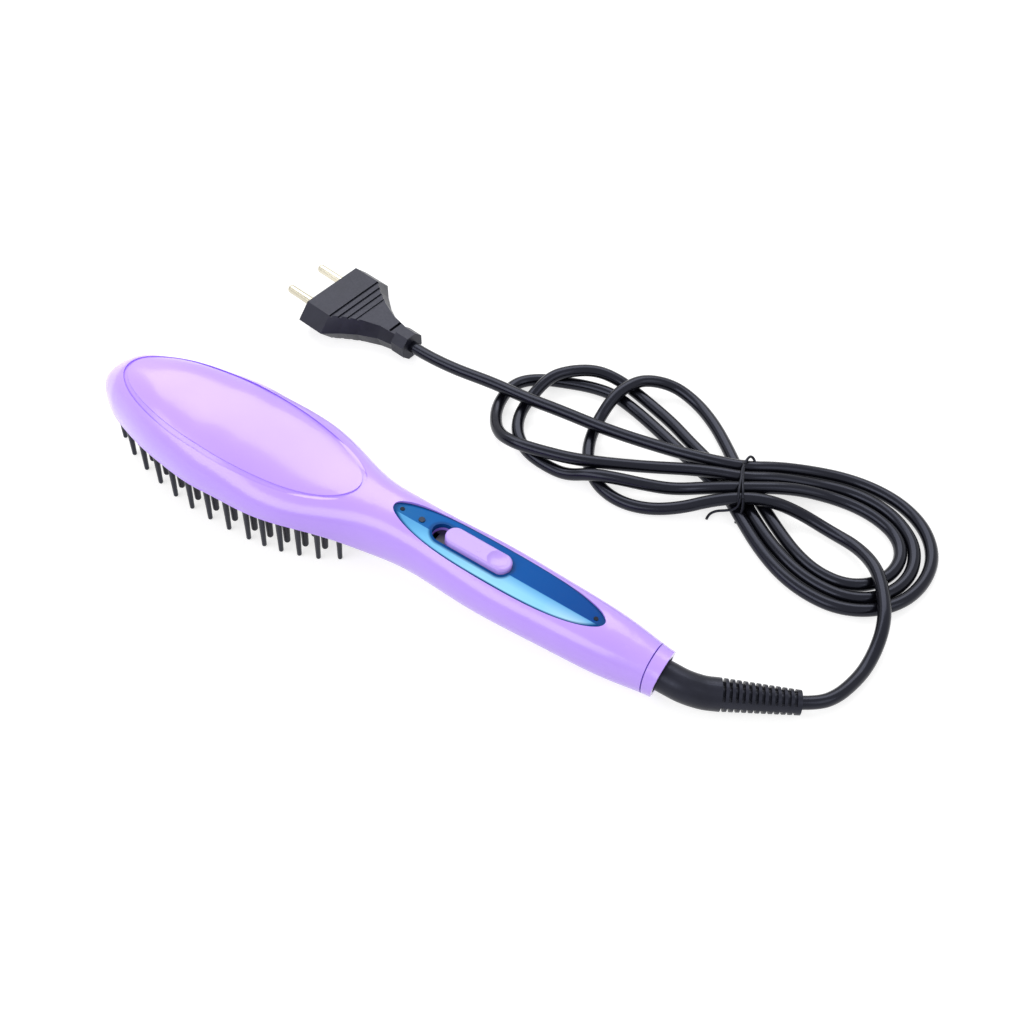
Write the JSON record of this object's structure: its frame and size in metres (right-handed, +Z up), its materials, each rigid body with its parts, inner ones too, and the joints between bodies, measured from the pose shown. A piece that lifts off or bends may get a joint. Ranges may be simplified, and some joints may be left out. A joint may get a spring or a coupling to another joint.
{
  "type": "electric straightening brush",
  "caption": "Electric hair straightening brush with an oval head of heated tines, a slide switch on its handle, and a mains cord tied in a figure-eight hank that ends in a flat two-pin plug.",
  "frame": {"origin": "on the floor, under the middle of the brush without its cord", "axes": "+X along the brush from nose to tail, +Y to the side where the cord hank lies, +Z up from the tine tips to the back of the head"},
  "size_m": [0.3222, 0.1654, 0.0445],
  "materials": {
    "lilac_shell": "glossy lilac moulding",
    "black_frame": "satin black",
    "red_plate": "red ceramic-coated metal",
    "heated_pin": "black heat-proof coating",
    "tine": "black heat-proof plastic",
    "blue_panel": "glossy blue",
    "button": "glossy lilac",
    "switch_plastic": "black",
    "steel": "zinc plated",
    "ceramic": "white ceramic",
    "insulation": "amber film",
    "aluminium": "plain",
    "fuse_metal": "plated",
    "wire_white": "silicone sleeve",
    "board": "green laminate",
    "lens": "smoked translucent",
    "led": "clear epoxy",
    "cord": "glossy black jacket",
    "tie": "black coated wire",
    "plug": "matte black moulding",
    "plug_pin": "nickel-plated brass",
    "relief": "matte black moulding"
  },
  "bodies": {
    "housing": {"bristle_frame": "black_frame", "circuit_board": "board", "clamp_screws": "steel", "control_panel": "blue_panel", "cord_clamp": "switch_plastic", "cord_clamp_screws": "steel", "cord_hank": "cord", "cord_plug_lead": "cord", "cord_relief_lead": "cord", "end_collar": "lilac_shell", "guard_tines_01": "tine", "guard_tines_02": "tine", "guard_tines_03": "tine", "guard_tines_04": "tine", "guard_tines_05": "tine", "guard_tines_06": "tine", "guard_tines_07": "tine", "guard_tines_08": "tine", "guard_tines_09": "tine", "guard_tines_10": "tine", "guard_tines_11": "tine", "guard_tines_12": "tine", "guard_tines_13": "tine", "guard_tines_14": "tine", "heated_pins_02": "heated_pin", "heated_pins_03": "heated_pin", "heated_pins_04": "heated_pin", "heated_pins_05": "heated_pin", "heated_pins_06": "heated_pin", "heated_pins_07": "heated_pin", "heated_pins_08": "heated_pin", "heated_pins_09": "heated_pin", "heated_pins_10": "heated_pin", "heated_pins_11": "heated_pin", "heated_pins_12": "heated_pin", "heated_pins_13": "heated_pin", "heater_clamp": "aluminium", "heater_leads": "wire_white", "heating_plate": "red_plate", "housing_screws": "steel", "indicator_led": "led", "indicator_lens": "lens", "inner_cord": "cord", "insulation_sheet": "insulation", "lower_housing": "lilac_shell", "panel_screws": "steel", "plate_screws": "steel", "plug_body": "plug", "plug_pins": "plug_pin", "ptc_heaters": "ceramic", "slide_switch": "switch_plastic", "strain_relief": "relief", "supply_wires": "wire_white", "thermal_fuse": "fuse_metal", "twist_tie": "tie", "upper_housing": "lilac_shell"},
    "button": {"slide_button": "button", "switch_slider": "switch_plastic", "switch_lever": "switch_plastic"}
  },
  "joints": [
    {"name": "switch_slide", "type": "slide", "parent": "housing", "child": "button", "axis": [-0.9939, 0, 0.1099], "range_m": [0, 0.0055]}
  ]
}
